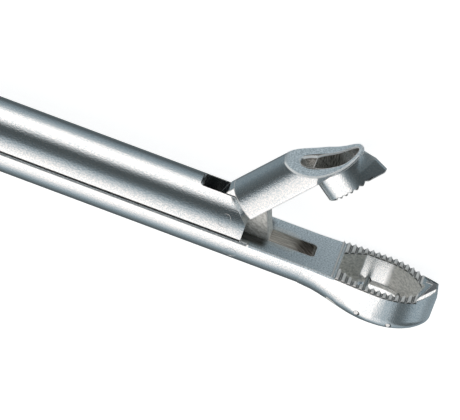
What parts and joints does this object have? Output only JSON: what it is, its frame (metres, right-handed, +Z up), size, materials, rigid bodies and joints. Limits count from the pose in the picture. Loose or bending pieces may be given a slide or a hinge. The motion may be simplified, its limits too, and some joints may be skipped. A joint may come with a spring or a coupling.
{
  "type": "biopsy punch",
  "caption": "Slender biopsy punch: a long round split shaft whose upper half slides, a hinged ring-shaped cutting jaw, a toothed oval basket at the tip and ring handles.",
  "frame": {"origin": "on the flat rest face of the handle body, below the shaft axis, midway along the lever slot", "axes": "+X along the shaft to the tip, +Y the way the jaw opens, +Z up from the face the instrument lies on"},
  "size_m": [0.2615, 0.0964, 0.009],
  "materials": {
    "shaft_steel": "satin stainless steel",
    "jaw_steel": "satin stainless steel, slightly darker",
    "handle_steel": "bead blasted stainless steel",
    "pin_steel": "ground stainless steel",
    "screw_steel": "polished stainless steel"
  },
  "bodies": {
    "frame": {"lower_shaft": "shaft_steel", "basket_pin_rear": "pin_steel", "basket_pin_front": "pin_steel", "jaw_pivot_pin": "pin_steel", "fixed_handle": "handle_steel", "shaft_dowel_front": "pin_steel", "shaft_dowel_rear": "pin_steel", "lever_pivot_screw": "screw_steel", "lever_pivot_nut": "screw_steel", "stop_screw": "screw_steel", "stop_lock_nut": "screw_steel"},
    "slide": {"upper_slide": "shaft_steel", "jaw_link_pin": "pin_steel", "drive_pin": "pin_steel", "slide_guide_front": "shaft_steel", "slide_guide_rear": "shaft_steel", "guide_pin_front": "pin_steel", "guide_pin_rear": "pin_steel"},
    "jaw": {"upper_jaw": "jaw_steel"},
    "lever": {"finger_lever": "handle_steel"}
  },
  "joints": [
    {"name": "lever_hinge", "type": "hinge", "parent": "frame", "child": "lever", "pos_m": [0, -0.0082, 0.0045], "axis": [0, 0, -1], "range_deg": [0, 17.65]},
    {"name": "slide_travel", "type": "slide", "parent": "frame", "child": "slide", "axis": [1, 0, 0], "range_m": [0, 0.00311]},
    {"name": "jaw_hinge", "type": "hinge", "parent": "frame", "child": "jaw", "pos_m": [0.183, -0.00175, 0.0045], "axis": [0, 0, -1], "range_deg": [0, 51.5]}
  ],
  "couplings": [
    {"joint": "slide_travel", "follows": "lever_hinge", "m_per_rad": 0.01008},
    {"joint": "jaw_hinge", "follows": "lever_hinge", "ratio": 2.9167}
  ]
}
